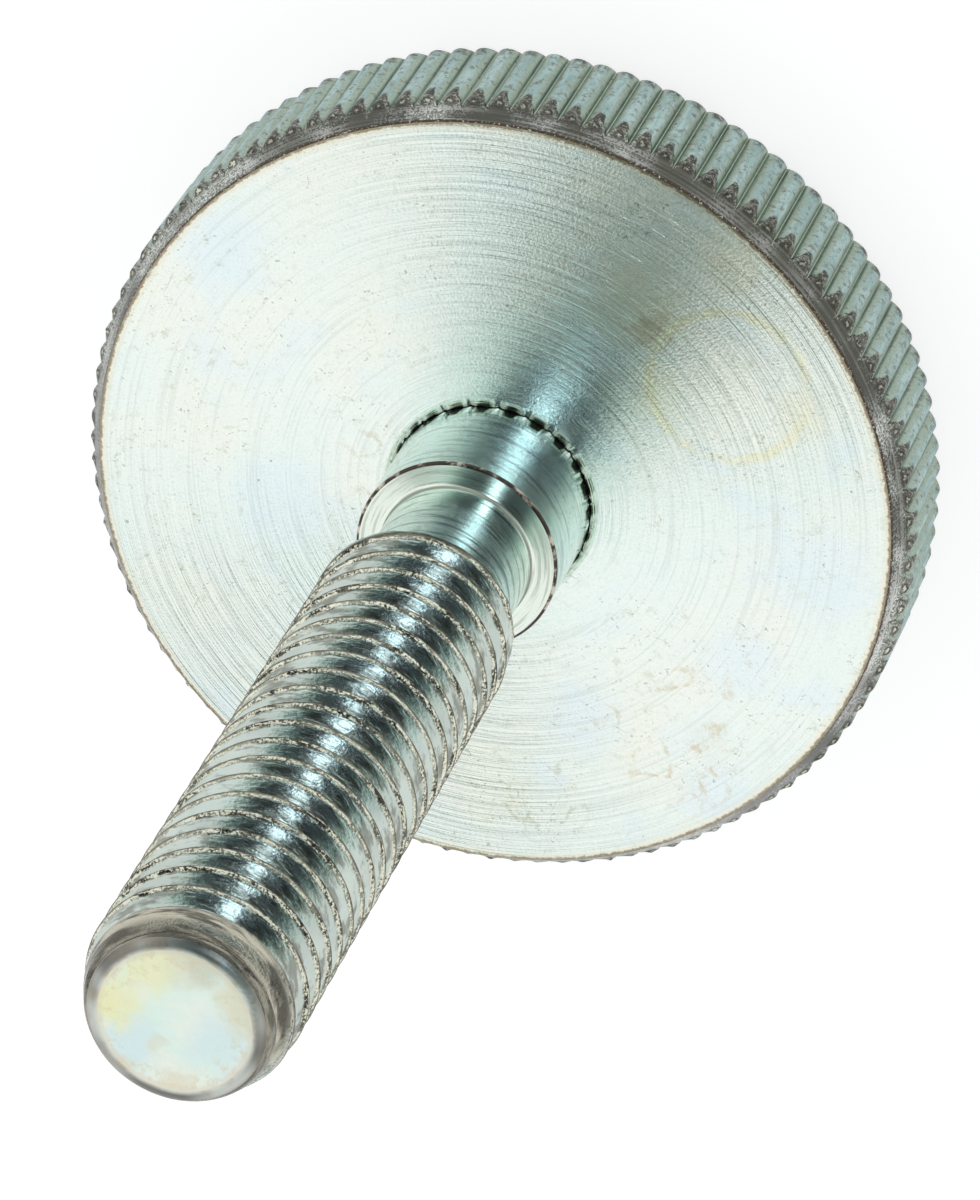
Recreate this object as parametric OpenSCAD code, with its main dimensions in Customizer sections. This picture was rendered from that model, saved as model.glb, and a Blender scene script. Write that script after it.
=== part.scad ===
// Thumb screw in two pieces: a thin knurled head, pressed onto a serrated and threaded stud.
// It stands on its head. The back face of the head lies on z = 0 and the stud points up along +Z.

/* [Head] */
// Diameter over the crests of the knurl
head_d = 24.5; // [20:0.5:36]
// Thickness of the head
head_t = 5; // [4:0.25:10]
// Width of the chamfer round the front face, along the radius
front_chamfer_w = 0.5; // [0.4:0.05:1.2]
// Height of the chamfer round the front face, along the axis
front_chamfer_h = 0.8; // [0.3:0.05:1.2]
// Width of the chamfer round the back face, along the radius
back_chamfer_w = 0.8; // [0.4:0.05:1.2]
// Height of the chamfer round the back face, along the axis
back_chamfer_h = 0.8; // [0.3:0.05:1.2]

/* [Knurl] */
// Number of straight teeth round the rim
knurl_teeth = 108; // [72:1:120]
// Depth of a tooth from crest to valley
knurl_depth = 0.26; // [0.1:0.02:0.36]

/* [Seat] */
// Number of serrations that hold the stud in the head
serration_teeth = 23; // [12:1:32]
// Height of a serration from root to tip
serration_h = 0.32; // [0.2:0.02:0.5]
// How far the serration tips stand out past the collar
serration_proud = 0.12; // [0.05:0.01:0.18]
// Radial gap between the stud and the head, at the serrations and at the collar
seat_gap = 0.03; // [0.01:0.01:0.05]
// Depth to which the collar sinks into the head's front face
collar_sink = 0.1; // [0.05:0.05:0.2]
// Lead-in chamfer at the foot of the serrations
seat_lead = 0.4; // [0.1:0.05:0.6]
// Distance from the stud's foot to the head's back face
foot_recess = 0.2; // [0.05:0.05:0.5]

/* [Stud] */
// Diameter of the smooth collar in front of the head
collar_d = 5.9; // [5.9:0.1:9]
// Height of the collar in front of the head
collar_h = 3.65; // [1:0.05:10]
// Edge break round the front of the collar
collar_break = 0.1; // [0.05:0.05:0.2]
// Length of the undercut neck between the collar and the thread
neck_l = 4.25; // [1.5:0.05:12]
// How far the neck lies below the root of the thread
neck_relief = 0.185; // [0.005:0.01:0.305]
// Radius of the fillet where the neck meets the collar
neck_fillet = 0.15; // [0.1:0.05:0.4]

/* [Thread] */
// Outside diameter of the thread
thread_d = 5.85; // [5.5:0.05:5.85]
// Pitch of the right-hand thread
thread_pitch = 1; // [0.8:0.05:1.25]
// Length of the thread, from its first edge to the end of the stud
thread_l = 22.1; // [8:0.1:40]
// Diameter of the flat on the tip
tip_d = 4.1; // [3:0.1:4.2]
// Radius of the rounding between that flat and the taper
tip_round = 0.5; // [0.1:0.05:0.6]
// Length of the taper that leads to the tip, with its rounding
tip_taper_l = 1.5; // [0.7:0.1:3]

/* [Hidden] */
$fn = 96;

// Heights along the axis, from the back face of the head
collar_foot_z = head_t - collar_sink;
collar_z = head_t + collar_h;
thread_z = collar_z + neck_l;
tip_z = thread_z + thread_l;

// Seat: the serrations reach past the collar and are cut below it
serration_tip_r = collar_d / 2 + serration_proud;
serration_root_r = serration_tip_r - serration_h;

// Thread: the ISO metric profile, five eighths of its sharp triangle deep
flank_angle = 30;
thread_depth = 5 / 8 * thread_pitch / (2 * tan(flank_angle));
groove_floor_w = thread_pitch / 4;
root_r = thread_d / 2 - thread_depth;
neck_r = root_r - neck_relief;
groove_steps = 24;

// Steps over which the thread's groove comes to its full depth, a quarter of a turn
run_in_steps = groove_steps / 4;

// Points along each knurl tooth
knurl_points = 6;

// Spare length past a face, and spare radius past the teeth, on each cutting body
overcut = 1;
tooth_clear = 0.1;

// Distance from the axis to the knurl, at a share of one tooth: round crests and sharp valleys
function knurl_r(share) = head_d / 2 - knurl_depth * (1 - sin(180 * share));

module knurl_outline() {
    points = knurl_teeth * knurl_points;
    polygon([
        for (i = [0:points - 1])
            let (a = 360 * i / points, r = knurl_r((i % knurl_points) / knurl_points))
                [r * cos(a), r * sin(a)]
    ]);
}

// Ring of V-shaped teeth, with its tips and roots moved outwards by grow
module serration_outline(grow = 0) {
    half_tooth = 180 / serration_teeth;
    polygon([
        for (i = [0:serration_teeth - 1])
            let (a = 2 * half_tooth * i, tip = serration_tip_r + grow, root = serration_root_r + grow)
                each [
                    [tip * cos(a), tip * sin(a)],
                    [root * cos(a + half_tooth), root * sin(a + half_tooth)]
                ]
    ]);
}

// The blank of the head: both chamfers run on past the crests, so that they cut every tooth
module head_blank() {
    crest_r = head_d / 2;
    blank_r = crest_r + tooth_clear;
    rotate_extrude($fn = 2 * knurl_teeth)
        polygon([
            [0, 0],
            [crest_r - back_chamfer_w, 0],
            [blank_r, back_chamfer_h * (1 + tooth_clear / back_chamfer_w)],
            [blank_r, head_t - front_chamfer_h * (1 + tooth_clear / front_chamfer_w)],
            [crest_r - front_chamfer_w, head_t],
            [0, head_t]
        ]);
}

module head_bore() {
    translate([0, 0, -overcut])
        linear_extrude(head_t + 2 * overcut)
            serration_outline(seat_gap);
    translate([0, 0, collar_foot_z])
        cylinder(h = collar_sink + overcut, r = collar_d / 2 + seat_gap);
}

module knurled_head() {
    color("gainsboro")
        difference() {
            intersection() {
                linear_extrude(head_t) knurl_outline();
                head_blank();
            }
            head_bore();
        }
}

// The serrated part of the stud, inside the head, with its lead-in
module serrated_seat() {
    blank_r = serration_tip_r + tooth_clear;
    intersection() {
        translate([0, 0, foot_recess])
            linear_extrude(collar_foot_z - foot_recess)
                serration_outline();
        rotate_extrude()
            polygon([
                [0, foot_recess],
                [serration_tip_r - seat_lead, foot_recess],
                [blank_r, foot_recess + seat_lead + tooth_clear],
                [blank_r, collar_foot_z + overcut],
                [0, collar_foot_z + overcut]
            ]);
    }
}

// Half section of everything above the seat: collar, fillet, neck, thread blank and tip
module stud_section() {
    collar_r = collar_d / 2;
    thread_r = thread_d / 2;
    fillet = [
        for (a = [0:15:90])
            [neck_r + neck_fillet * (1 - sin(a)), collar_z + neck_fillet * (1 - cos(a))]
    ];
    // The taper is tangent to the rounding of the tip, and so is the flat
    round_c = [tip_d / 2, tip_z - tip_round];
    taper_foot = [thread_r, tip_z - tip_taper_l];
    reach = taper_foot - round_c;
    first_a = atan2(reach[1], reach[0]) + acos(tip_round / norm(reach));
    rounding = [
        for (share = [0:1 / 5:1])
            let (a = first_a + (90 - first_a) * share)
                round_c + tip_round * [cos(a), sin(a)]
    ];
    polygon(concat(
        [[0, collar_foot_z], [collar_r, collar_foot_z]],
        [[collar_r, collar_z - collar_break], [collar_r - collar_break, collar_z]],
        fillet,
        [[neck_r, thread_z], [thread_r, thread_z], taper_foot],
        rounding,
        [[0, tip_z]]
    ));
}

// The helical groove between the crests, from its run-in at the neck to one turn past the tip
module thread_groove() {
    rim_r = thread_d / 2 + thread_pitch / 16;
    floor_half = groove_floor_w / 2;
    rim_half = floor_half + (rim_r - root_r) * tan(flank_angle);
    steps = ceil((thread_l / thread_pitch + 1) * groove_steps);
    section = [[rim_r, -rim_half], [rim_r, rim_half], [root_r, floor_half], [root_r, -floor_half]];
    points = [
        for (i = [0:steps])
            let (
                a = 360 * i / groove_steps,
                z = thread_z + thread_pitch * i / groove_steps,
                lift = (rim_r - root_r) * max(0, 1 - i / run_in_steps)
            )
                for (p = section)
                    [(p[0] + lift) * cos(a), (p[0] + lift) * sin(a), z + p[1]]
    ];
    sides = [
        for (i = [0:steps - 1], k = [0:3])
            let (next = (k + 1) % 4)
                [4 * i + k, 4 * i + next, 4 * i + 4 + next, 4 * i + 4 + k]
    ];
    last = 4 * steps;
    ends = [[3, 2, 1, 0], [last, last + 1, last + 2, last + 3]];
    polyhedron(points, concat(ends, sides));
}

module threaded_stud() {
    color("lightsteelblue")
        difference() {
            union() {
                serrated_seat();
                rotate_extrude() stud_section();
            }
            thread_groove();
        }
}

knurled_head();
threaded_stud();
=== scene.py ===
"""Thumb screw: a thin knurled head, pressed onto a stud with a collar, a neck and an M6 thread.

Lengths in the tables below are millimetres, and angles degrees. The screw stands on its head,
with the back face on z = 0 and the stud along +Z, as in the CAD model.
"""
import bpy
import math
import random
from mathutils import Matrix, Vector


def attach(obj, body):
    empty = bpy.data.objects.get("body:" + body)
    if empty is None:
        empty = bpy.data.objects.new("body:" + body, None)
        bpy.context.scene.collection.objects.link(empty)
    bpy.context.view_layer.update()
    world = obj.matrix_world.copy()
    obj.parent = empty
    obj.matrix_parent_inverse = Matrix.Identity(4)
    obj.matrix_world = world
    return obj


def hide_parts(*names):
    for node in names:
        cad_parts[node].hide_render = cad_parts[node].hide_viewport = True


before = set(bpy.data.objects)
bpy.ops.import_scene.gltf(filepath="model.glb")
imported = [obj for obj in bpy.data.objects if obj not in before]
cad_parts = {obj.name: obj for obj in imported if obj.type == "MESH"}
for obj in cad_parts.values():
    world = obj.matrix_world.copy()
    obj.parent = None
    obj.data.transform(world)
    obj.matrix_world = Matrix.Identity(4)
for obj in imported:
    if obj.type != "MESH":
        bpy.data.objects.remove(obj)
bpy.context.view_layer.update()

MM = 0.001
TAU = 2 * math.pi

# Head
HEAD_R = 12.25
HEAD_T = 5.0
FRONT_CHAMFER_W, FRONT_CHAMFER_H = 0.5, 0.8
FRONT_SLOPE = FRONT_CHAMFER_H / FRONT_CHAMFER_W
FRONT_SLANT = math.hypot(1.0, FRONT_SLOPE)
BACK_CHAMFER_W, BACK_CHAMFER_H = 0.8, 0.8
TEETH = 108
TOOTH_DEPTH = 0.26
TOOTH_SHAPE = 0.72
PITCH_OF_TEETH = TAU * HEAD_R / TEETH

# Seat of the stud in the head
SERRATIONS = 23
SERRATION_TIP_R = 3.07
SERRATION_ROOT_R = 2.75
SEAT_GAP = 0.03
COLLAR_SINK = 0.1
SEAT_LEAD = 0.4
FOOT_RECESS = 0.2

# Stud
COLLAR_R = 2.95
COLLAR_TOP = HEAD_T + 3.65
NECK_R = 2.2
NECK_FILLET = 0.15
THREAD_R = 2.925
PITCH = 1.0
THREAD_Z = COLLAR_TOP + 4.25
TIP_Z = THREAD_Z + 22.1
THREAD_DEPTH = 5 / 8 * PITCH * math.sqrt(3) / 2
ROOT_R = THREAD_R - THREAD_DEPTH
TIP_FLAT_R = 2.05
TIP_ROUND = 0.5
TIP_TAPER_L = 1.5

# Where the photograph was taken from: the direction from the screw to the camera
CAMERA_AZIMUTH = -132.08
CAMERA_ELEVATION = 58.54
CAMERA_LENS, SENSOR_HEIGHT = 223.35, 36
CAMERA_PLACE = (-73.161, -81.024, 188.150)
CAMERA_RIGHT = (-0.93301273, 0.24336907, -0.26506367)
CAMERA_UP = (-0.10369990, -0.88720483, -0.44957082)
CAMERA_BACK = (-0.34457740, -0.39196822, 0.85301074)


# ---------------------------------------------------------------- camera, floor and light

def unit(azimuth, elevation):
    """The direction at this azimuth and elevation."""
    a, e = math.radians(azimuth), math.radians(elevation)
    return Vector((math.cos(e) * math.cos(a), math.cos(e) * math.sin(a), math.sin(e)))


def add_camera():
    """The camera of the photograph, fitted to the head's edges, the collar and the thread."""
    axes = (CAMERA_RIGHT, CAMERA_UP, CAMERA_BACK, Vector(CAMERA_PLACE) * MM)
    rows = [[axis[i] for axis in axes] for i in range(3)] + [(0, 0, 0, 1)]
    camera = bpy.data.cameras.new("camera")
    camera.sensor_fit = "VERTICAL"
    camera.sensor_height = SENSOR_HEIGHT
    camera.lens = CAMERA_LENS
    camera.clip_start = 0.01
    obj = bpy.data.objects.new("camera", camera)
    obj.matrix_world = Matrix(rows)
    bpy.context.scene.collection.objects.link(obj)
    bpy.context.scene.camera = obj


class Tree:
    """A node tree, with short calls for the nodes that the materials here are made of."""

    def __init__(self, owner):
        owner.use_nodes = True
        self.nodes = owner.node_tree.nodes
        self.links = owner.node_tree.links

    def put(self, socket, value):
        """Link a socket's output into an input, or set the input to a constant."""
        if isinstance(value, bpy.types.NodeSocket):
            self.links.new(value, socket)
        else:
            socket.default_value = value

    def math(self, operation, a, b=0.0, c=0.0):
        node = self.nodes.new("ShaderNodeMath")
        node.operation = operation
        for socket, value in zip(node.inputs, (a, b, c)):
            self.put(socket, value)
        return node.outputs[0]

    def times(self, a, b):
        return self.math("MULTIPLY", a, b)

    def plus(self, a, b):
        return self.math("ADD", a, b)

    def minus(self, a, b):
        return self.math("SUBTRACT", a, b)

    def vector(self, operation, a, b=(0.0, 0.0, 0.0)):
        node = self.nodes.new("ShaderNodeVectorMath")
        node.operation = operation
        self.put(node.inputs[0], a)
        if operation == "SCALE":
            self.put(node.inputs["Scale"], b)
        elif operation not in ("LENGTH", "NORMALIZE", "ABSOLUTE"):
            self.put(node.inputs[1], b)
        scalar = operation in ("LENGTH", "DOT_PRODUCT", "DISTANCE")
        return node.outputs["Value" if scalar else "Vector"]

    def join(self, x, y, z):
        node = self.nodes.new("ShaderNodeCombineXYZ")
        for socket, value in zip(node.inputs, (x, y, z)):
            self.put(socket, value)
        return node.outputs[0]

    def split(self, vector):
        node = self.nodes.new("ShaderNodeSeparateXYZ")
        self.links.new(vector, node.inputs[0])
        return node.outputs

    def smooth(self, value, low, high, out_low=0.0, out_high=1.0):
        """A soft step from out_low to out_high, as the value goes from low to high."""
        node = self.nodes.new("ShaderNodeMapRange")
        node.interpolation_type = "SMOOTHSTEP"
        flip = high < low
        if flip:
            low, high, out_low, out_high = high, low, out_high, out_low
        for socket, v in zip(node.inputs, (value, low, high, out_low, out_high)):
            self.put(socket, v)
        return node.outputs[0]

    def noise(self, vector, scale=1.0, detail=2.0, roughness=0.5):
        node = self.nodes.new("ShaderNodeTexNoise")
        self.links.new(vector, node.inputs["Vector"])
        node.inputs["Scale"].default_value = scale
        node.inputs["Detail"].default_value = detail
        node.inputs["Roughness"].default_value = roughness
        return node.outputs[0]

    def cells(self, vector, scale=1.0):
        """Distance to the nearest of a set of scattered points, and that point's random colour."""
        node = self.nodes.new("ShaderNodeTexVoronoi")
        self.links.new(vector, node.inputs["Vector"])
        node.inputs["Scale"].default_value = scale
        return node.outputs["Distance"], node.outputs["Color"]

    def ramp(self, value, stops):
        node = self.nodes.new("ShaderNodeValToRGB")
        elements = node.color_ramp.elements
        while len(elements) < len(stops):
            elements.new(0.5)
        for element, (place, colour) in zip(elements, stops):
            element.position = place
        for element, (place, colour) in zip(elements, stops):
            element.color = (*colour, 1.0)
        self.links.new(value, node.inputs[0])
        return node.outputs[0]

    def mix(self, share, a, b, blend="MIX"):
        node = self.nodes.new("ShaderNodeMix")
        node.data_type = "RGBA"
        node.blend_type = blend
        self.put(node.inputs[0], share)
        for socket, value in ((node.inputs[6], a), (node.inputs[7], b)):
            self.put(socket, (*value, 1.0) if isinstance(value, tuple) else value)
        return node.outputs[2]

    def any_of(self, *masks):
        """Where at least one of the masks is set."""
        result = masks[0]
        for mask in masks[1:]:
            result = self.math("MAXIMUM", result, mask)
        return result


def add_world():
    """A white light tent, open round the camera; the opening is dark, with a thin bright lamp."""
    world = bpy.data.worlds.new("light_tent")
    bpy.context.scene.world = world
    tree = Tree(world)
    out = tree.nodes["World Output"]
    seen = tree.nodes["Background"]
    direction = tree.nodes.new("ShaderNodeTexCoord").outputs["Generated"]
    axis = unit(CAMERA_AZIMUTH, CAMERA_ELEVATION)
    side = unit(CAMERA_AZIMUTH + 90, 0)
    over = unit(CAMERA_AZIMUTH, CAMERA_ELEVATION + 90)
    # Angles from the middle of the opening, in radians: sideways, and up or down
    ahead = tree.vector("DOT_PRODUCT", direction, tuple(axis))
    across = tree.math("ARCTAN2", tree.vector("DOT_PRODUCT", direction, tuple(side)), ahead)
    along = tree.math("ARCTAN2", tree.vector("DOT_PRODUCT", direction, tuple(over)), ahead)
    radius = tree.vector("LENGTH", tree.join(
        tree.any_of(tree.times(across, OPENING_LEFT), tree.times(across, -1.0)),
        tree.any_of(tree.times(along, OPENING_UP), tree.times(along, -OPENING_DOWN)), 0.0))
    share = tree.math("DIVIDE", radius, math.radians(OPENING_WIDEST))
    tent = tree.ramp(share, [(angle / OPENING_WIDEST, colour) for angle, colour in OPENING])
    lamp = tree.times(tree.smooth(tree.math("ABSOLUTE", across), *LAMP_ACROSS),
                     tree.smooth(tree.math("ABSOLUTE", along), *LAMP_ALONG))
    seen_in_metal = tree.mix(lamp, tent, LAMP)
    tree.put(seen.inputs["Color"], seen_in_metal)
    backdrop = tree.nodes.new("ShaderNodeBackground")
    backdrop.inputs["Color"].default_value = (1, 1, 1, 1)
    choose = tree.nodes.new("ShaderNodeMixShader")
    tree.put(choose.inputs[0], tree.nodes.new("ShaderNodeLightPath").outputs["Is Camera Ray"])
    tree.links.new(seen.outputs[0], choose.inputs[1])
    tree.links.new(backdrop.outputs[0], choose.inputs[2])
    tree.links.new(choose.outputs[0], out.inputs["Surface"])


# The tent's colour at these degrees from the middle of its opening, and the lamp's colour
OPENING = [
    (0, (0.020, 0.026, 0.032)), (24, (0.020, 0.026, 0.032)), (31, (0.055, 0.085, 0.090)),
    (37, (0.28, 0.40, 0.38)), (43, (0.80, 0.90, 0.86)), (50, (1.0, 1.0, 1.0)),
]
OPENING_WIDEST = 60
# How much narrower (above 1) or wider (below 1) the opening is there than at its right
OPENING_UP, OPENING_DOWN, OPENING_LEFT = 0.78, 1.15, 1.2
LAMP = (2.9, 3.5, 3.9)
# Half sizes of the lamp in radians: where its light ends, and up to where it is full
LAMP_ACROSS, LAMP_ALONG = (0.085, 0.03), (0.42, 0.25)

FLOOR_GREY, FLOOR_GLOW = 0.36, 0.785


def add_floor():
    """A plain white floor. It glows faintly for what looks at it, so that it stays white."""
    bpy.ops.mesh.primitive_plane_add(size=4)
    floor = bpy.context.object
    floor.name = "floor"
    material = bpy.data.materials.new("floor")
    tree = Tree(material)
    principled = tree.nodes["Principled BSDF"]
    tree.nodes.remove(principled)
    diffuse = tree.nodes.new("ShaderNodeBsdfDiffuse")
    diffuse.inputs["Color"].default_value = (FLOOR_GREY, FLOOR_GREY, FLOOR_GREY, 1)
    glow = tree.nodes.new("ShaderNodeEmission")
    path = tree.nodes.new("ShaderNodeLightPath")
    looked_at = tree.any_of(
        path.outputs["Is Camera Ray"], path.outputs["Is Glossy Ray"],
        path.outputs["Is Transmission Ray"])
    tree.put(glow.inputs["Strength"], tree.times(looked_at, FLOOR_GLOW))
    add = tree.nodes.new("ShaderNodeAddShader")
    tree.links.new(diffuse.outputs[0], add.inputs[0])
    tree.links.new(glow.outputs[0], add.inputs[1])
    tree.links.new(add.outputs[0], tree.nodes["Material Output"].inputs["Surface"])
    floor.data.materials.append(material)


# ---------------------------------------------------------------- shapes

def smooth_min(a, b, width):
    h = max(width - abs(a - b), 0.0) / width
    return min(a, b) - h * h * width / 4


def gauss(x, width):
    return math.exp(-(x / width) ** 2)


def make_object(name, points, faces, slots, materials):
    """A mesh object from points in millimetres, faces, and a material slot for each face."""
    mesh = bpy.data.meshes.new(name)
    mesh.from_pydata([(x * MM, y * MM, z * MM) for x, y, z in points], [], faces)
    mesh.polygons.foreach_set("material_index", slots)
    mesh.polygons.foreach_set("use_smooth", [True] * len(faces))
    for material in materials:
        mesh.materials.append(material)
    obj = bpy.data.objects.new(name, mesh)
    bpy.context.scene.collection.objects.link(obj)
    return obj


def mark_sharp(mesh, pairs):
    """Keep a crease along these edges, each given by its two points."""
    wanted = {tuple(sorted(pair)) for pair in pairs}
    for edge in mesh.edges:
        if tuple(sorted(edge.vertices)) in wanted:
            edge.use_edge_sharp = True


def groove_wall(w):
    """Radius of the thread at w millimetres from the middle of its groove, with its roundings."""
    flank = ROOT_R + (abs(w) - PITCH / 8) * math.sqrt(3)
    crest_round, root_round = 0.30, 0.12
    top = smooth_min(flank, THREAD_R + 0.026, crest_round)
    return -smooth_min(-top, -ROOT_R, root_round)


def tip_radius(z):
    """Radius of the taper and the rounding at the tip."""
    below = TIP_Z - z
    foot = (THREAD_R, TIP_TAPER_L)
    centre = (TIP_FLAT_R, TIP_ROUND)
    dx, dz = foot[0] - centre[0], centre[1] - foot[1]
    first = math.atan2(dz, dx) + math.acos(TIP_ROUND / math.hypot(dx, dz))
    tangent = (centre[0] + TIP_ROUND * math.cos(first), centre[1] - TIP_ROUND * math.sin(first))
    if below >= foot[1]:
        return THREAD_R
    if below >= tangent[1]:
        share = (below - tangent[1]) / (foot[1] - tangent[1])
        return tangent[0] + share * (foot[0] - tangent[0])
    rise = max(TIP_ROUND - below, 0.0)
    return TIP_FLAT_R + math.sqrt(max(TIP_ROUND ** 2 - rise ** 2, 0.0))


def thread_radius(theta, z):
    """Radius of the stud in its threaded length: the helical groove, its run-in and the taper."""
    turns = (z - THREAD_Z) / PITCH - theta / TAU
    n = round(turns)
    t = n + theta / TAU
    if t < 0:
        r = THREAD_R
    else:
        lift = THREAD_DEPTH * max(0.0, 1 - 4 * t)
        r = min(groove_wall((turns - n) * PITCH) + lift, THREAD_R)
    return min(r, tip_radius(z))


def serration_radius(theta):
    """Radius of the stud's serrated seat at this angle."""
    phase = (theta * SERRATIONS / TAU) % 1
    return SERRATION_ROOT_R + (SERRATION_TIP_R - SERRATION_ROOT_R) * abs(2 * phase - 1)


STUD_COLUMNS = 112
STUD_ROWS_PER_TURN = 18
GROOVE_END_Z = TIP_Z - 0.12


def build_stud(materials):
    """The stud: foot and serrated seat, collar, neck, thread and tip."""
    points, faces, slots, sharp = [], [], [], []
    columns = [TAU * j / STUD_COLUMNS for j in range(STUD_COLUMNS)]

    def ring(radius, z):
        """A ring of points, whose radius is a number or a function of the angle."""
        first = len(points)
        for theta in columns:
            r = radius(theta) if callable(radius) else radius
            points.append((r * math.cos(theta), r * math.sin(theta), z))
        return list(range(first, first + STUD_COLUMNS))

    def band(lower, upper, slot):
        for j in range(STUD_COLUMNS):
            k = (j + 1) % STUD_COLUMNS
            faces.append((lower[j], lower[k], upper[k], upper[j]))
            slots.append(slot)

    def crease(row):
        for j in range(STUD_COLUMNS):
            sharp.append((row[j], row[(j + 1) % STUD_COLUMNS]))

    def cap(row, z, slot, up):
        centre = len(points)
        points.append((0, 0, z))
        for j in range(STUD_COLUMNS):
            k = (j + 1) % STUD_COLUMNS
            faces.append((row[j], row[k], centre) if up else (row[k], row[j], centre))
            slots.append(slot)

    # Foot, lead-in and serrations, all inside the head
    foot = ring(SERRATION_TIP_R - SEAT_LEAD, FOOT_RECESS)
    cap(foot, FOOT_RECESS, FOOT, up=False)
    lead = ring(lambda a: min(serration_radius(a), SERRATION_ROOT_R), FOOT_RECESS + SEAT_LEAD * 0.5)
    seat_low = ring(serration_radius, FOOT_RECESS + SEAT_LEAD)
    seat_top = ring(serration_radius, HEAD_T - COLLAR_SINK)
    band(foot, lead, FOOT)
    band(lead, seat_low, FOOT)
    band(seat_low, seat_top, FOOT)
    crease(foot)
    crease(seat_low)
    crease(seat_top)

    # Collar, with a broken edge, and its annular front face
    edge = 0.09
    rows = [(COLLAR_R, HEAD_T - COLLAR_SINK), (COLLAR_R, HEAD_T + 0.5), (COLLAR_R, HEAD_T + 1.8),
            (COLLAR_R, COLLAR_TOP - edge - 0.12), (COLLAR_R, COLLAR_TOP - edge)]
    last = seat_top
    for r, z in rows:
        row = ring(r, z)
        band(last, row, COLLAR)
        last = row
    for a in (30, 60, 90):
        c, s = math.cos(math.radians(a)), math.sin(math.radians(a))
        row = ring(COLLAR_R - edge + edge * c, COLLAR_TOP - edge + edge * s)
        band(last, row, EDGE)
        last = row
    crease(last)
    inner = ring(NECK_R + NECK_FILLET, COLLAR_TOP)
    band(last, inner, STEP)
    last = inner
    for a in (15, 30, 45, 60, 75, 90):
        s, c = math.sin(math.radians(a)), math.cos(math.radians(a))
        row = ring(NECK_R + NECK_FILLET * (1 - s), COLLAR_TOP + NECK_FILLET * (1 - c))
        band(last, row, STEP)
        last = row
    row = ring(NECK_R, COLLAR_TOP + NECK_FILLET + 0.1)
    band(last, row, NECK)
    neck_top = ring(NECK_R, THREAD_Z)
    band(row, neck_top, NECK)
    crease(neck_top)

    # The thread: a grid that climbs with the helix, cut off square at both ends
    start = ring(lambda a: thread_radius(a, THREAD_Z) - 0.04, THREAD_Z)
    band(neck_top, start, THREAD)
    crease(start)
    per_turn = STUD_ROWS_PER_TURN
    low_u = THREAD_Z - PITCH
    total = int(math.ceil((GROOVE_END_Z - low_u) / PITCH * per_turn)) + 1
    end = ring(tip_radius(GROOVE_END_Z), GROOVE_END_Z)
    grid = []
    for i in range(total):
        row = []
        for j, theta in enumerate(columns):
            z = low_u + PITCH * (i / per_turn + theta / TAU)
            if z <= THREAD_Z + 0.012:
                row.append(start[j])
            elif z >= GROOVE_END_Z - 0.012:
                row.append(end[j])
            else:
                r = thread_radius(theta, z)
                row.append(len(points))
                points.append((r * math.cos(theta), r * math.sin(theta), z))
        grid.append(row)

    def grid_point(i, j):
        if j == STUD_COLUMNS:
            i, j = i + per_turn, 0
        return grid[i][j] if i < total else end[j]

    for i in range(total - 1):
        for j in range(STUD_COLUMNS):
            corners = [grid_point(i, j), grid_point(i, j + 1),
                       grid_point(i + 1, j + 1), grid_point(i + 1, j)]
            unique = [c for n, c in enumerate(corners) if c != corners[n - 1]]
            if len(set(unique)) >= 3:
                faces.append(tuple(unique))
                slots.append(THREAD)

    # Rounding of the tip, and the flat tip
    last = end
    for below in (0.09, 0.065, 0.04, 0.02, 0.008, 0.0):
        row = ring(tip_radius(TIP_Z - below), TIP_Z - below)
        band(last, row, TIP_RIM)
        last = row
    inner = ring(TIP_FLAT_R * 0.8, TIP_Z)
    band(last, inner, TIP)
    cap(inner, TIP_Z, TIP, up=True)

    stud = make_object("stud", points, faces, slots, materials)
    mark_sharp(stud.data, sharp)
    return stud


TOOTH_SAMPLES = (0.0, 0.035, 0.075, 0.13, 0.21, 0.31, 0.42,
                 0.5, 0.58, 0.69, 0.79, 0.87, 0.925, 0.965)


def tooth_radius(share):
    """Radius of the knurl at this share of one tooth: broad rounded lands and narrow valleys."""
    return HEAD_R - TOOTH_DEPTH * (1 - math.sin(math.pi * share) ** TOOTH_SHAPE)


def bore_radius(theta):
    """Radius of the hole in the head: the notches of the serrations and the collar's round seat."""
    return serration_radius(theta) + SEAT_GAP


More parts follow.
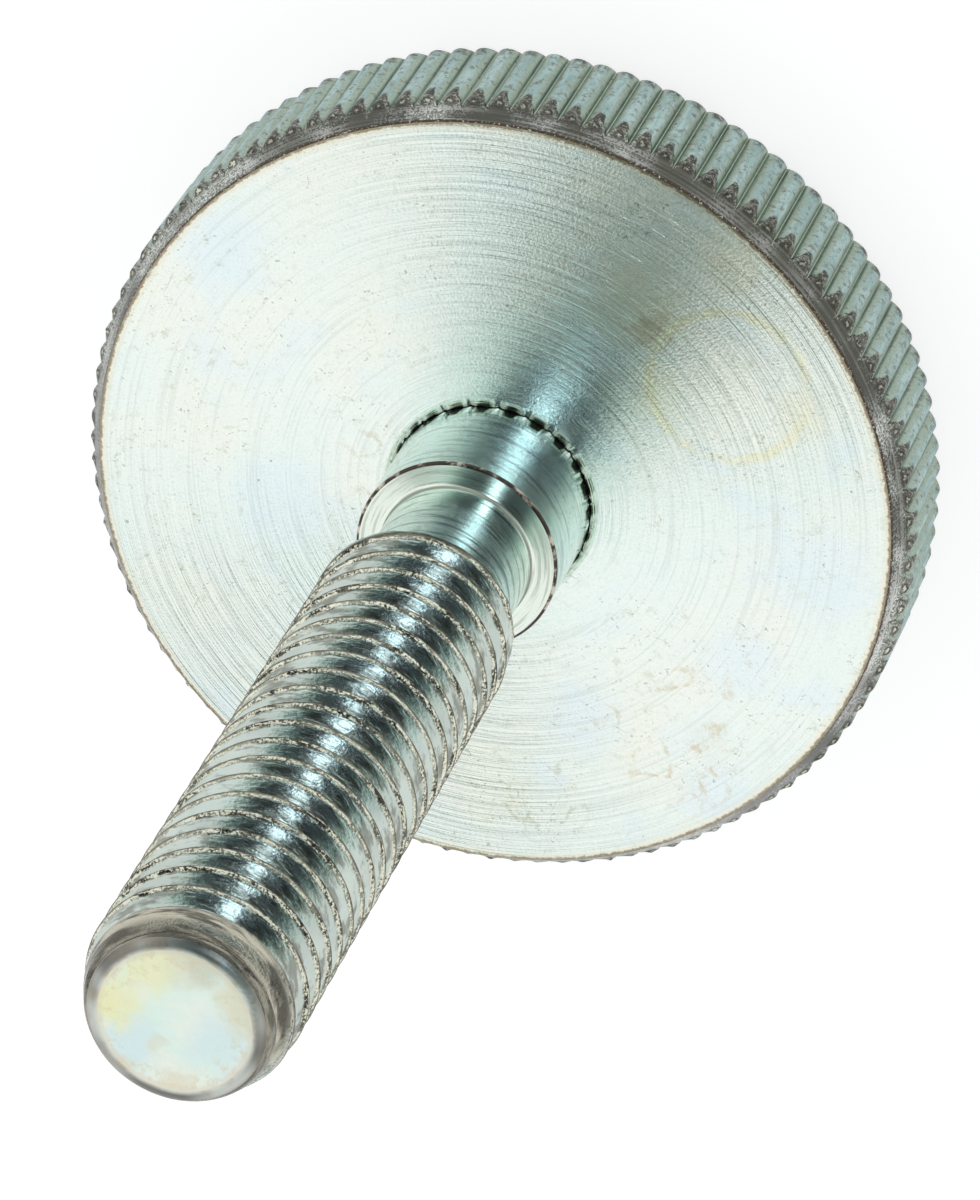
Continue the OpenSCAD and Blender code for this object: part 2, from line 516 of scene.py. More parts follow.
def build_head(materials):
    """The head: front face, chamfers, knurl, back face and the serrated bore."""
    rng = random.Random(7)
    points, faces, slots = [], [], []
    angles, shares, tooth_of = [], [], []
    for tooth in range(TEETH):
        for share in TOOTH_SAMPLES:
            angles.append(TAU * (tooth + share) / TEETH)
            shares.append(share)
            tooth_of.append(tooth)
    count = len(angles)
    burr = [rng.uniform(0.3, 1.0) for _ in range(TEETH)]
    shift = [rng.uniform(-0.12, 0.12) for _ in range(TEETH)]

    def ring(place):
        """A ring of points; place gives the radius and height in each column."""
        first = len(points)
        for j in range(count):
            r, z = place(j)
            points.append((r * math.cos(angles[j]), r * math.sin(angles[j]), z))
        return list(range(first, first + count))

    def band(outer, inner, slot):
        for j in range(count):
            k = (j + 1) % count
            faces.append((outer[j], outer[k], inner[k], inner[j]))
            slots.append(slot)

    front_r = HEAD_R - FRONT_CHAMFER_W
    back_r = HEAD_R - BACK_CHAMFER_W
    wall = [tooth_radius(s) for s in shares]
    front_z = [HEAD_T - FRONT_CHAMFER_H * (r - front_r) / FRONT_CHAMFER_W for r in wall]
    back_z = [BACK_CHAMFER_H * (r - back_r) / BACK_CHAMFER_W for r in wall]

    def knob(j, along):
        """Height of the burr at the front end of a crest, this far along the profile."""
        crest = gauss(shares[j] - 0.5 - shift[tooth_of[j]], 0.15)
        return 0.09 * burr[tooth_of[j]] * crest * gauss(along, 0.09)

    rows = []

    # Back face, from the bore outwards
    rows.append((ring(lambda j: (bore_radius(angles[j]), HEAD_T - COLLAR_SINK)), BORE))
    rows.append((ring(lambda j: (bore_radius(angles[j]), 0.12)), BORE))
    rows.append((ring(lambda j: (bore_radius(angles[j]) + 0.06, 0.0)), BACK))
    for r in (3.6, 5.5, 8.0, 10.5):
        rows.append((ring(lambda j, r=r: (r, 0.0)), BACK))
    rows.append((ring(lambda j: (back_r, 0.0)), BACK_EDGE))

    # Back chamfer, up to where it meets each tooth
    for share in (0.35, 0.7, 0.92):
        rows.append((ring(lambda j, s=share: (
            back_r + (wall[j] - back_r) * s, back_z[j] * s)), BACK_EDGE))
    rows.append((ring(lambda j: (wall[j], back_z[j] + 0.02)), KNURL))

    # Knurl, from the back chamfer to the front chamfer
    for share in (0.03, 0.08, 0.18, 0.4, 0.62, 0.8, 0.9, 0.95, 0.985):
        def on_wall(j, s=share):
            z = back_z[j] + (front_z[j] - back_z[j]) * s
            return wall[j], z
        rows.append((ring(on_wall), KNURL))
    rows.append((ring(lambda j: (wall[j], front_z[j])), FRONT_EDGE))

    # Front chamfer, with a burr where it meets each crest
    for share in (0.02, 0.05, 0.09, 0.13, 0.17, 0.22, 0.28, 0.36, 0.46, 0.6, 0.78, 0.93):
        def on_chamfer(j, s=share):
            r = wall[j] + (front_r - wall[j]) * s
            z = front_z[j] + (HEAD_T - front_z[j]) * s
            along = math.hypot(r - wall[j], z - front_z[j])
            k = knob(j, along - 0.12)
            return min(r + 0.7 * k, wall[j]), z + 0.5 * k
        rows.append((ring(on_chamfer), FRONT_EDGE))
    front_edge = ring(lambda j: (front_r, HEAD_T))
    rows.append((front_edge, FRONT_EDGE))

    # Front face, inwards to the seam round the collar
    for r in (11.6, 10.0, 8.0, 6.0, 4.5, 3.6, 3.25):
        rows.append((ring(lambda j, r=r: (r, HEAD_T)), FACE))

    def lip(j, drop=0.0):
        phase = (angles[j] * SERRATIONS / TAU) % 1
        notch = 0.05 * gauss(min(phase, 1 - phase), 0.08)
        ragged = 0.004 * math.sin(angles[j] * 61) + 0.004 * math.sin(angles[j] * 143 + 1)
        return COLLAR_R + 0.028 + notch + ragged, HEAD_T - drop
    rows.append((ring(lambda j: lip(j)), FACE))
    rows.append((ring(lambda j: lip(j, 0.03)), BORE))
    rows.append((ring(lambda j: lip(j, COLLAR_SINK)), BORE))

    for (outer, _), (inner, slot) in zip(rows, rows[1:]):
        band(outer, inner, slot)
    first, last = rows[0][0], rows[-1][0]
    band(last, first, BORE)

    head = make_object("head", points, faces, slots, materials)
    creases = [row for row, slot in rows if slot == BACK_EDGE][:1] + [front_edge]
    mark_sharp(head.data, [(row[j], row[(j + 1) % count]) for row in creases for j in range(count)])
    return head


# ---------------------------------------------------------------- materials

class Metal(Tree):
    """A metal material, with the places on the screw that its patterns are laid out by."""

    def __init__(self, name, roughness, anisotropic=0.0):
        self.material = bpy.data.materials.new(name)
        super().__init__(self.material)
        self.shader = self.nodes["Principled BSDF"]
        self.shader.inputs["Metallic"].default_value = 1.0
        self.shader.inputs["Roughness"].default_value = roughness
        place = self.nodes.new("ShaderNodeTexCoord").outputs["Object"]
        self.place = self.vector("SCALE", place, 1 / MM)
        self.x, self.y, self.z = self.split(self.place)
        self.r = self.vector("LENGTH", self.join(self.x, self.y, 0.0))
        self.ux = self.math("DIVIDE", self.x, self.r)
        self.uy = self.math("DIVIDE", self.y, self.r)
        self.turns = self.math("DIVIDE", self.math("ARCTAN2", self.y, self.x), TAU)
        if anisotropic:
            # A turned surface spreads the light across the tool's circular marks
            self.shader.inputs["Anisotropic"].default_value = anisotropic
            self.shader.inputs["Anisotropic Rotation"].default_value = 0.25
            tangent = self.nodes.new("ShaderNodeTangent")
            tangent.direction_type = "RADIAL"
            tangent.axis = "Z"
            self.put(self.shader.inputs["Tangent"], tangent.outputs[0])

    def tooth(self):
        """How far from the crest, 0 to 1 in the valley, and the radius of the knurl here."""
        phase = self.math("FRACT", self.times(self.turns, float(TEETH)))
        from_crest = self.times(self.math("ABSOLUTE", self.minus(phase, 0.5)), 2.0)
        lift = self.math("POWER", self.math("SINE", self.times(phase, math.pi)), TOOTH_SHAPE)
        wall = self.plus(HEAD_R - TOOTH_DEPTH, self.times(lift, TOOTH_DEPTH))
        return from_crest, wall

    def tool_marks(self, across, per_mm, wander=1.5, detail=3.0, roughness=0.6):
        """Noise that runs in lines round the axis; across is the length across the lines."""
        lines = self.join(self.times(across, per_mm),
                          self.times(self.ux, wander),
                          self.times(self.uy, wander))
        return self.noise(lines, 1.0, detail, roughness)

    def specks(self, per_mm, radius, share):
        """Small scattered dots, in this share of the cells of a pattern with per_mm cells."""
        distance, chance = self.cells(self.place, per_mm)
        pick = self.smooth(self.split(chance)[0], 1 - share, 1 - share + 0.02)
        size = self.times(self.split(chance)[1], radius * per_mm)
        dot = self.math("LESS_THAN", distance, size)
        return self.times(dot, pick)

    def scratches(self, turn, share):
        """Short straight scratches along one direction."""
        rotate = self.nodes.new("ShaderNodeVectorRotate")
        rotate.rotation_type = "Z_AXIS"
        self.put(rotate.inputs["Vector"], self.place)
        rotate.inputs["Angle"].default_value = math.radians(turn)
        stretch = self.vector("MULTIPLY", rotate.outputs[0], (0.55, 9.0, 1.0))
        return self.smooth(self.noise(stretch, 1.0, 2.0, 0.6), 1 - share, 1 - share + 0.03)

    def stains(self, colour, table, ragged=1.1):
        """Lay the stains of a table over a colour; their outlines are made uneven by noise."""
        uneven = self.vector("ADD", self.place, self.vector(
            "SCALE", self.vector("SUBTRACT", self.noise_vector(1.3), (0.5, 0.5, 0.5)), ragged))
        for (x, y), radius, tint, strength in table:
            far = self.vector("DISTANCE", self.vector("MULTIPLY", uneven, (1, 1, 0)), (x, y, 0))
            share = self.smooth(far, radius, radius * 0.25, 0.0, strength)
            colour = self.mix(share, colour, tint)
        return colour

    def noise_vector(self, per_mm):
        node = self.nodes.new("ShaderNodeTexNoise")
        self.links.new(self.place, node.inputs["Vector"])
        node.inputs["Scale"].default_value = per_mm
        node.inputs["Detail"].default_value = 3.0
        return node.outputs["Color"]

    def bump(self, height, depth_mm, below=None):
        """Raise the surface by this height, times this depth, over an earlier bump if any."""
        node = self.nodes.new("ShaderNodeBump")
        node.inputs["Distance"].default_value = depth_mm * MM
        self.put(node.inputs["Height"], height)
        if below is not None:
            self.put(node.inputs["Normal"], below)
        return node.outputs[0]

    def finish(self, colour, normal=None, roughness=None):
        self.put(self.shader.inputs["Base Color"], colour)
        if normal is not None:
            self.put(self.shader.inputs["Normal"], normal)
        if roughness is not None:
            self.put(self.shader.inputs["Roughness"], roughness)
        return self.material


CREAM, YELLOW = (0.93, 0.955, 0.88), (0.94, 0.92, 0.70)
BROWN, DARK_BROWN = (0.62, 0.52, 0.36), (0.07, 0.055, 0.045)
BLUE, MINT = (0.82, 0.925, 0.965), (0.88, 0.965, 0.925)

FACE_STAINS = [
    ((-7.86, -2.61), 2.6, (1.0, 1.0, 0.92), 0.8),
    ((-9.74, -1.48), 1.1, YELLOW, 0.50), ((-5.76, -2.75), 1.2, YELLOW, 0.50),
    ((-5.76, -5.37), 1.9, YELLOW, 0.50), ((-8.84, -6.72), 1.3, YELLOW, 0.35),
    ((2.32, 8.89), 1.8, YELLOW, 0.45), ((-4.66, 8.40), 0.9, BROWN, 0.10),
    ((-4.56, 10.10), 1.6, BLUE, 0.7), ((-0.96, 7.26), 1.8, BLUE, 0.7),
    ((-9.15, 3.59), 2.2, BLUE, 0.8), ((-5.95, 5.93), 1.8, BLUE, 0.6),
    ((6.26, -0.73), 2.2, BLUE, 0.7), ((5.83, -8.74), 2.0, BLUE, 0.7),
    ((2.82, 8.63), 2.2, CREAM, 0.8),
    ((-6.10, -4.60), 0.9, BROWN, 0.6), ((-8.91, -6.11), 1.2, (0.95, 0.92, 0.76), 0.6),
]

# Old drops on the face: place, radius of the group, how fine their outlines are, and colour
FACE_DROPS = [
    ((-3.9, 8.1), 3.0, 0.6, (0.70, 0.60, 0.42)), ((0.9, 9.4), 2.2, 0.8, (0.62, 0.64, 0.50)),
    ((2.9, -1.4), 1.6, 0.6, (0.66, 0.62, 0.46)),
]


def face_metal():
    """The turned front face: fine circular marks, faint stains, dark specks and scratches."""
    m = Metal("turned_face", 0.20, 0.8)
    wide = m.noise(m.place, 0.22, 3.0)
    colour = m.mix(m.smooth(wide, 0.35, 0.7), MINT, CREAM)
    colour = m.mix(m.smooth(m.noise(m.place, 0.5, 2.0), 0.52, 0.75, 0.0, 0.6), colour, BLUE)
    colour = m.stains(colour, FACE_STAINS)
    ring = m.math("ABSOLUTE", m.minus(m.vector("DISTANCE", m.vector(
        "MULTIPLY", m.place, (1, 1, 0)), (-7.86, -2.61, 0)), 2.3))
    patchy = m.smooth(m.noise(m.place, 0.9, 2.0), 0.4, 0.6, 0.25, 0.95)
    colour = m.mix(m.times(m.smooth(ring, 0.25, 0.05), patchy), colour, YELLOW)

    # Circular tool marks and grit, the same all round
    fine = m.tool_marks(m.r, 9.0)
    grit = m.noise(m.place, 11.0, 3.0, 0.7)
    colour = m.mix(m.smooth(fine, 0.52, 0.64, 0.0, 0.15), colour, (0.40, 0.46, 0.45))
    colour = m.mix(m.smooth(grit, 0.52, 0.64, 0.0, 0.10), colour, (0.42, 0.48, 0.46))

    # The edge of the face: a cream band and a dark line, both uneven
    uneven = m.plus(m.r, m.times(m.noise(m.place, 5.0, 4.0, 0.75), 0.26))
    colour = m.mix(m.smooth(uneven, 11.60, 11.76, 0.0, 0.6), colour, (0.88, 0.83, 0.66))
    colour = m.mix(m.smooth(uneven, 11.77, 11.84, 0.0, 0.95), colour, (0.34, 0.27, 0.18))

    # Round the seam: a little yellow-green dirt
    colour = m.mix(m.times(m.smooth(uneven, 3.38, 3.15), 0.5), colour, (0.75, 0.72, 0.5))

    # Wear: cloudy patches, ragged dark spots, short scratches and thin brown outlines of old drops
    cloudy = m.smooth(m.noise(m.place, 2.6, 4.0, 0.7), 0.5, 0.7, 0.0, 0.35)
    colour = m.mix(cloudy, colour, (0.74, 0.82, 0.76))
    patch = m.smooth(m.noise(m.place, 0.45, 3.0), 0.44, 0.60)
    smudges = m.times(m.smooth(m.noise(m.place, 2.6, 5.0, 0.75), 0.56, 0.66), patch)
    colour = m.mix(m.times(smudges, 0.40), colour, (0.62, 0.60, 0.42))
    spots = m.smooth(m.noise(m.place, 5.5, 3.0, 0.7), 0.63, 0.68)
    dots = m.any_of(m.specks(1.6, 0.06, 0.2), m.times(spots, m.smooth(patch, 0.0, 1.0, 0.08, 1.0)))
    colour = m.mix(m.times(dots, 0.55), colour, (0.27, 0.32, 0.23))
    marks = m.times(m.any_of(m.scratches(35, 0.30), m.scratches(-50, 0.30)), patch)
    colour = m.mix(m.times(marks, 0.35), colour, (0.42, 0.47, 0.37))
    ragged = m.noise(m.place, 4.0, 3.0, 0.7)
    broken = m.smooth(m.noise(m.place, 2.2, 3.0, 0.75), 0.42, 0.60)
    for (x, y), radius, per_mm, tint in FACE_DROPS:
        far = m.vector("DISTANCE", m.vector("MULTIPLY", m.place, (1, 1, 0)), (x, y, 0))
        shape = m.plus(m.noise(m.place, per_mm, 1.2, 0.5), m.times(ragged, 0.10))
        outline = m.math("ABSOLUTE", m.minus(shape, 0.60))
        drop = m.times(m.smooth(outline, 0.042, 0.008), m.smooth(far, radius, radius * 0.5))
        colour = m.mix(m.times(m.times(drop, broken), 0.65), colour, tint)

    normal = m.bump(grit, 0.007, m.bump(fine, 0.036))
    return m.finish(colour, normal)


def chamfer_metal():
    """The chamfers of the head: turned metal under dark patches, with painted sheen and painted
    glints, the same all round.
    """
    m = Metal("turned_chamfer", 0.22, 0.5)
    from_crest, wall = m.tooth()
    rim = m.minus(wall, m.r)
    groove = m.tool_marks(m.z, 14.0, 2.0)
    grain = m.noise(m.place, 16.0, 2.0, 0.7)
    coarse = m.noise(m.place, 7.0, 3.0, 0.7)
    base = m.mix(m.noise(m.place, 0.8, 3.0), (0.60, 0.68, 0.62), (0.76, 0.78, 0.66))
    patches = m.noise(m.place, 0.4, 3.0)
    black = m.smooth(m.plus(m.smooth(patches, 0.35, 0.65, 0.5, 0.95), m.times(
        m.minus(groove, 0.5), 1.2)), 0.25, 0.75, 0.0, 0.9)
    base = m.mix(black, base, (0.022, 0.020, 0.017))
    line = m.smooth(groove, 0.5, 0.62)
    base = m.mix(m.times(line, m.smooth(black, 0.0, 1.0, 0.5, 0.3)), base, (0.24, 0.23, 0.18))
    # Painted sheen: white sparkling specks in patches on the front chamfer next to the face
    bright = m.times(m.smooth(patches, 0.65, 0.30, 0.0, 0.6), m.smooth(m.z, 4.2, 4.7))
    flecks = m.plus(m.times(grain, 0.5), m.times(groove, 0.5))
    sparkling = m.mix(m.smooth(flecks, 0.48, 0.53), (0.03, 0.03, 0.03), (0.98, 1.0, 0.97))
    base = m.mix(bright, base, sparkling)

    # Where the chamfer cuts the teeth: a row of fine bright points, and a bead at each crest with
    # painted glints, white among dark
    bead = m.vector("LENGTH", m.join(m.times(from_crest, PITCH_OF_TEETH / 2), m.times(
        m.minus(rim, 0.10), FRONT_SLANT), 0.0))
    points = m.mix(m.smooth(grain, 0.50, 0.60), (0.06, 0.056, 0.046), (0.66, 0.70, 0.62))
    lit = m.smooth(black, 0.0, 1.0, 1.0, 0.35)
    base = m.mix(m.times(m.smooth(rim, 0.11, 0.05, 0.0, 0.85), lit), base, points)
    mottle = m.times(m.plus(coarse, grain), 0.5)
    # Painted glints on each bead: white points among dark ones, fewer away from its middle and in
    # the black patches
    rarer = m.plus(m.times(bead, 1.8), m.times(black, 0.09))
    glint = m.smooth(m.minus(mottle, rarer), 0.30, 0.36)
    glints = m.mix(glint, (0.06, 0.05, 0.04), m.mix(bright, (0.74, 0.75, 0.60), (1.0, 0.98, 0.93)))
    beads = m.times(m.smooth(bead, 0.22, 0.14), m.smooth(black, 0.0, 1.0, 0.9, 0.45))
    base = m.mix(beads, base, glints)

    # Next to the face: black-brown, with a few bright points
    edge = m.plus(m.z, m.times(coarse, 0.12))
    base = m.mix(m.smooth(edge, 4.96, 5.0), base, m.mix(
        m.smooth(grain, 0.6, 0.66), (0.07, 0.055, 0.04), (0.6, 0.6, 0.55)))
    normal = m.bump(groove, 0.012)
    normal = m.bump(grain, 0.012, normal)
    return m.finish(base, normal, m.smooth(bead, 0.20, 0.12, 0.22, 0.45))


def knurl_metal():
    """The knurl: blue-grey lands, olive flanks, a dark line of painted shade in each valley with a
    pale line of painted reflection at its bottom, dark at the ends.
    """
    m = Metal("knurl", 0.42)
    from_crest, _ = m.tooth()
    streak = m.noise(m.vector("MULTIPLY", m.place, (9.0, 9.0, 1.6)), 1.0, 3.0, 0.6)
    rough = m.noise(m.place, 4.5, 4.0, 0.75)
    tone = m.noise(m.vector("MULTIPLY", m.place, (1.3, 1.3, 0.5)), 1.0, 2.0)
    land = m.mix(m.smooth(tone, 0.35, 0.65), (0.34, 0.48, 0.47), (0.44, 0.59, 0.58))
    land = m.mix(m.smooth(streak, 0.45, 0.62, 0.0, 0.5), land, (0.24, 0.36, 0.33))
    olive = m.mix(m.smooth(rough, 0.4, 0.6), (0.31, 0.38, 0.30), (0.47, 0.57, 0.48))
    aside = m.plus(from_crest, m.times(m.minus(streak, 0.5), 0.9))
    colour = m.mix(m.smooth(aside, 0.28, 0.60, 0.0, 0.85), land, olive)
    colour = m.mix(m.smooth(rough, 0.49, 0.65, 0.0, 0.75), colour, (0.16, 0.135, 0.095))
    along_teeth = m.join(m.times(m.turns, 60.0), m.times(m.z, 0.35), 0.0)
    vary = m.smooth(m.noise(along_teeth, 1.0, 2.0), 0.35, 0.65, 0.2, 0.8)
    # Painted shade: a dark line down each valley, stronger in some valleys than in others
    flank = m.times(m.smooth(from_crest, 0.76, 0.86), m.smooth(from_crest, 0.98, 0.93))
    colour = m.mix(m.times(flank, vary), colour, (0.14, 0.21, 0.18))
    # Painted reflection: a pale line along the bottom of each valley
    colour = m.mix(m.smooth(from_crest, 0.95, 0.985, 0.0, 0.7), colour, (0.62, 0.68, 0.50))

    # Darker where the chamfers cut the teeth, with pale points in it
    front = m.minus(HEAD_T + FRONT_SLOPE * (HEAD_R - FRONT_CHAMFER_W), m.plus(
        m.z, m.times(m.r, FRONT_SLOPE)))
    uneven = m.plus(front, m.times(m.minus(rough, 0.5), 0.7))
    reach = m.minus(uneven, m.smooth(from_crest, 0.55, 0.2, 0.0, 0.30))
    back = m.times(m.smooth(m.z, 1.35, 0.95), m.smooth(from_crest, 0.7, 0.35))
    dark_ends = m.any_of(m.smooth(reach, 0.24, 0.10), m.times(
        back, m.smooth(rough, 0.38, 0.55, 0.0, 0.8)))
    speckle = m.smooth(m.noise(m.place, 13.0, 2.0, 0.6), 0.50, 0.62)
    colour = m.mix(dark_ends, colour, m.mix(speckle, (0.05, 0.045, 0.036), (0.26, 0.27, 0.22)))
    pale = m.times(m.smooth(front, 0.16, 0.05), m.smooth(m.noise(m.place, 8.0, 2.0), 0.55, 0.62))
    colour = m.mix(m.times(pale, 0.5), colour, (0.80, 0.80, 0.66))
    colour = m.mix(m.times(m.specks(3.0, 0.05, 0.3), 0.8), colour, (0.05, 0.045, 0.04))
    normal = m.bump(streak, 0.008)
    normal = m.bump(rough, 0.022, normal)
    return m.finish(colour, normal)


def back_metal():
    """The back face: plain turned metal, a little duller than the front."""
    m = Metal("turned_back", 0.36, 0.9)
    colour = m.mix(m.noise(m.place, 0.25, 3.0), (0.80, 0.86, 0.83), (0.86, 0.86, 0.77))
    fine = m.tool_marks(m.r, 8.0)
    colour = m.mix(m.smooth(fine, 0.52, 0.66, 0.0, 0.2), colour, (0.4, 0.43, 0.4))
    colour = m.mix(m.times(m.specks(1.5, 0.06, 0.3), 0.7), colour, (0.2, 0.18, 0.15))
    return m.finish(colour, m.bump(fine, 0.012))


def bore_shade_metal():
    """Inside the seam and the bore: dark as painted shade, with dirt."""
    m = Metal("bore", 0.5)
    return m.finish(m.mix(m.noise(m.place, 4.0, 2.0), (0.03, 0.027, 0.022), (0.12, 0.10, 0.08)))


def collar_metal(name, lines, depth, dark_lines):
    """Smooth plated metal, with tool marks as fine, deep and dark as given."""
    m = Metal(name, 0.15, 0.75)
    colour = m.mix(m.noise(m.place, 0.7, 3.0), (0.70, 0.91, 0.90), (0.80, 0.91, 0.82))
    grain = m.noise(m.place, 11.0, 2.0, 0.7)
    cloud = m.smooth(m.plus(m.noise(m.place, 2.2, 4.0, 0.7), m.times(
        m.minus(grain, 0.5), 0.8)), 0.50, 0.70)
    colour = m.mix(m.times(cloud, 0.35), colour, (0.30, 0.42, 0.46))
    marks = m.tool_marks(m.z, lines, 1.2)
    colour = m.mix(m.smooth(marks, 0.5, 0.66, 0.0, dark_lines), colour, (0.16, 0.20, 0.21))
    colour = m.mix(m.times(m.specks(5.0, 0.035, 0.4), 0.8), colour, (0.04, 0.06, 0.09))
    normal = m.bump(marks, depth)
    normal = m.bump(m.specks(6.0, 0.035, 0.5), 0.02, normal)
    normal = m.bump(m.noise(m.place, 14.0, 2.0, 0.6), 0.003, normal)
    return m.finish(colour, normal)


def edge_metal():
    """The collar's front edge: dark brown, broken by pale spots."""
    m = Metal("collar_edge", 0.3)
    worn = m.smooth(m.noise(m.place, 3.2, 3.0, 0.65), 0.5, 0.68)
    return m.finish(m.mix(worn, DARK_BROWN, (0.62, 0.56, 0.46)), m.bump(worn, 0.01))


def step_metal():
    """The step between collar and neck: cream, with turning marks and a dark line of painted shade
    where it meets the neck.
    """
    m = Metal("collar_step", 0.22, 0.8)
    marks = m.tool_marks(m.r, 11.0, 1.5)
    colour = m.mix(m.noise(m.place, 1.0, 2.0), (0.82, 0.92, 0.86), (0.87, 0.91, 0.80))
    colour = m.mix(m.smooth(marks, 0.5, 0.66, 0.0, 0.45), colour, (0.28, 0.31, 0.27))
    # Painted shade in the corner where the fillet meets the neck
    root = m.math("ABSOLUTE", m.minus(m.r, NECK_R + 0.02))
    colour = m.mix(m.smooth(root, 0.04, 0.01, 0.0, 0.8), colour, (0.20, 0.22, 0.17))
    return m.finish(colour, m.bump(marks, 0.012))


def thread_metal():
    """The rolled thread: rough worn crests, each with a brown line of painted shade, painted shade
    in the groove's root, and smooth flanks; the crests carry a painted olive highlight and painted
    glints.
    """
    m = Metal("thread", 0.16)
    climb = m.math("DIVIDE", m.minus(m.z, THREAD_Z), PITCH)
    phase = m.math("FRACT", m.minus(climb, m.turns))
    wobble = m.plus(phase, m.times(m.minus(m.noise(
        m.place, 2.5, 2.0), 0.5), 0.06))
    streaks = m.tool_marks(m.z, 7.0, 2.5, 3.0, 0.65)
    grain = m.noise(m.place, 15.0, 2.0, 0.6)
    taper = m.smooth(m.z, TIP_Z - 1.3, TIP_Z - 0.9)
    dirt = m.smooth(m.noise(m.place, 0.6, 3.0), 0.35, 0.6, 0.55, 1.0)

    # Flanks: pale, with turning marks and patches of dirt
    flank = m.mix(m.noise(m.place, 0.8, 2.0), (0.66, 0.79, 0.76), (0.76, 0.83, 0.75))
    flank = m.mix(m.smooth(streaks, 0.48, 0.62, 0.0, 0.7), flank, (0.22, 0.22, 0.18))
    flank = m.mix(m.times(dirt, 0.30), flank, (0.10, 0.10, 0.085))

    # Crests: cream; the dirt in their pits is black-brown, with a painted highlight as an olive
    # ridge and painted glints as bright points
    crest = m.mix(m.smooth(grain, 0.35, 0.65), (0.74, 0.74, 0.56), (0.92, 0.93, 0.81))
    crest = m.mix(m.smooth(grain, 0.54, 0.64, 0.0, 0.35), crest, (0.40, 0.38, 0.29))
    worn = m.mix(m.smooth(grain, 0.38, 0.6), (0.012, 0.011, 0.009), (0.10, 0.097, 0.075))
    ridge = m.times(m.smooth(wobble, 0.49, 0.55), m.smooth(wobble, 0.70, 0.61))
    sparkle = m.times(m.plus(
        m.noise(m.place, 13.0, 2.0, 0.75), m.tool_marks(m.z, 15.0, 6.0, 2.0, 0.6)), 0.5)
    patches = m.smooth(m.noise(m.place, 1.7, 3.0, 0.6), 0.38, 0.60, 0.05, 0.65)
    olive = m.mix(m.smooth(m.z, 19.0, 28.0), (0.24, 0.23, 0.14), (0.44, 0.43, 0.29))
    # Painted highlight: a broken olive ridge along each crest
    worn = m.mix(m.times(m.times(ridge, patches), m.smooth(sparkle, 0.46, 0.53)), worn, olive)
    # Painted glints: bright points on the crests, fewer towards the tip
    painted_glints = m.times(m.smooth(sparkle, 0.535, 0.565), m.smooth(m.z, 17.0, 26.0, 0.95, 0.3))
    worn = m.mix(painted_glints, worn, (0.98, 0.96, 0.80))

    # Taper at the tip: brown-black with cream streaks
    turned = m.tool_marks(m.z, 4.0, 1.3)
    tapered = m.mix(m.smooth(turned, 0.42, 0.58), (0.05, 0.045, 0.04), (0.50, 0.47, 0.38))
    near_tip = m.smooth(m.z, TIP_Z - 0.80, TIP_Z - 0.50, 0.0, 0.5)
    tapered = m.mix(near_tip, tapered, (0.05, 0.045, 0.04))
    worn = m.mix(taper, worn, tapered)
    in_pits = m.times(m.smooth(sparkle, 0.47, 0.53, 1.0, 0.2), dirt)
    crest = m.mix(m.any_of(in_pits, m.times(taper, 0.9)), crest, worn)
    late = m.minus(wobble, m.times(dirt, 0.05))
    on_crest = m.any_of(m.times(m.smooth(wobble, 0.34, 0.38), m.smooth(
        late, 0.60, 0.54)), taper)
    colour = m.mix(on_crest, flank, crest)

    # A brown line of painted shade on the head's side of each crest, darker and wider where there
    # is more dirt
    untapered = m.smooth(taper, 1.0, 0.0)
    early = m.plus(wobble, m.times(dirt, 0.05))
    line = m.times(m.smooth(early, 0.405, 0.435), m.smooth(early, 0.59, 0.54))
    brown = m.mix(dirt, (0.25, 0.235, 0.165), (0.06, 0.056, 0.045))
    colour = m.mix(m.times(m.times(line, untapered), 0.9), colour, brown)
    # Painted shade in the root of the groove
    root = m.any_of(m.smooth(wobble, 0.93, 0.98), m.smooth(wobble, 0.12, 0.05))
    colour = m.mix(m.times(m.times(root, untapered), 0.6), colour, (0.20, 0.18, 0.13))
    roughness = m.smooth(on_crest, 0.0, 1.0, 0.19, 0.21)
    normal = m.bump(m.times(grain, m.smooth(on_crest, 0.0, 1.0, 0.1, 1.0)), 0.03)
    normal = m.bump(streaks, 0.03, normal)
    return m.finish(colour, normal, roughness)


TIP_YELLOW, TIP_BROWN, TIP_BLUE = (0.86, 0.85, 0.50), (0.74, 0.66, 0.46), (0.68, 0.83, 0.86)
TIP_STAINS = [
    ((1.39, 0.55), 1.2, TIP_BLUE, 0.8), ((-1.10, 0.88), 1.3, TIP_BLUE, 0.7),
    ((0.35, -1.55), 1.1, TIP_YELLOW, 0.7), ((1.60, -0.78), 1.1, TIP_YELLOW, 0.9),
    ((-0.77, -1.71), 1.0, TIP_BROWN, 0.6), ((-1.14, -1.25), 0.6, (0.50, 0.55, 0.45), 0.4),
    ((-1.72, -0.45), 0.8, TIP_BROWN, 0.5), ((-1.72, 0.15), 0.7, TIP_BROWN, 0.4),
    ((1.67, 0.97), 0.6, TIP_BROWN, 0.6), ((0.61, 0.72), 0.4, TIP_BROWN, 0.35),
    ((0.29, 1.65), 0.6, TIP_BROWN, 0.5),
]


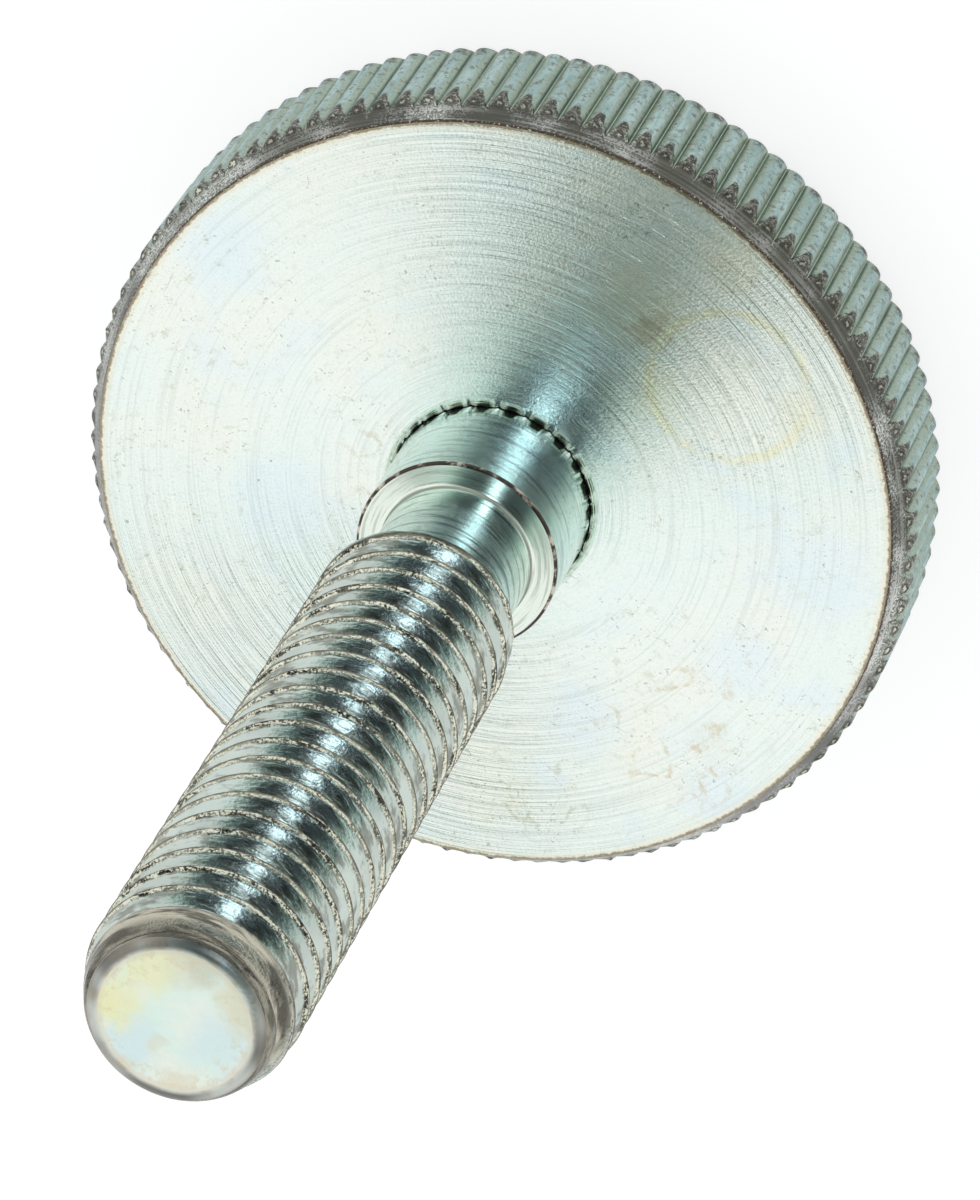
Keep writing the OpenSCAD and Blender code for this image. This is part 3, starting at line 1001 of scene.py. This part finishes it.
def tip_rim_metal():
    """The rounding of the tip: pale with a brown edge, under brown-black patches."""
    m = Metal("tip_rim", 0.32)
    patchy = m.noise(m.place, 1.6, 3.0)
    pale = m.mix(m.smooth(patchy, 0.45, 0.65), (0.66, 0.70, 0.66), (0.58, 0.55, 0.46))
    pale = m.mix(m.smooth(m.z, TIP_Z - 0.05, TIP_Z - 0.11, 0.0, 0.8), pale, (0.50, 0.48, 0.41))
    uneven = m.plus(m.r, m.times(m.minus(patchy, 0.5), 0.12))
    dark = m.times(m.smooth(m.noise(m.place, 0.4, 2.0), 0.38, 0.62, 0.2, 0.8), m.smooth(
        uneven, 2.02, 2.20))
    black_brown = m.mix(m.smooth(patchy, 0.4, 0.7), (0.045, 0.04, 0.035), (0.15, 0.13, 0.11))
    colour = m.mix(dark, pale, black_brown)
    colour = m.mix(m.smooth(uneven, 2.12, 2.02, 0.0, 0.7), colour, (0.72, 0.66, 0.53))
    return m.finish(colour, m.bump(m.noise(m.place, 9.0, 2.0), 0.006))


def tip_metal():
    """The flat tip: pale, with yellow, brown and blue stains from plating and wear."""
    m = Metal("tip_flat", 0.3)
    wide = m.smooth(m.noise(m.place, 0.8, 3.0), 0.35, 0.65)
    colour = m.mix(wide, (0.76, 0.90, 0.83), (0.84, 0.90, 0.82))
    colour = m.stains(colour, TIP_STAINS, 1.3)
    ragged = m.smooth(m.noise(m.place, 3.0, 4.0, 0.75), 0.50, 0.62)
    colour = m.mix(m.times(ragged, m.smooth(
        m.r, 1.0, 1.9, 0.0, 0.45)), colour, (0.70, 0.60, 0.40))
    uneven = m.plus(m.r, m.times(m.noise(m.place, 2.0, 3.0), 0.3))
    colour = m.mix(m.smooth(uneven, 1.98, 2.18, 0.0, 0.6), colour, (0.72, 0.66, 0.53))
    return m.finish(colour, m.bump(m.noise(m.place, 3.0, 3.0), 0.01))


add_camera()
add_world()
add_floor()
bpy.context.scene.view_settings.view_transform = "Standard"

FACE, FRONT_EDGE, KNURL, BACK_EDGE, BACK, BORE = range(6)
chamfer, back = chamfer_metal(), back_metal()
head = build_head([face_metal(), chamfer, knurl_metal(), chamfer, back, bore_shade_metal()])
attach(head, "root")
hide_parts("knurled_head")

FOOT, COLLAR, EDGE, STEP, NECK, THREAD, TIP_RIM, TIP = range(8)
collar = collar_metal("collar", lines=6.0, depth=0.006, dark_lines=0.4)
neck = collar_metal("neck", lines=6.0, depth=0.012, dark_lines=0.75)
stud = build_stud([back, collar, edge_metal(), step_metal(), neck, thread_metal(),
                   tip_rim_metal(), tip_metal()])
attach(stud, "root")
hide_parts("threaded_stud")
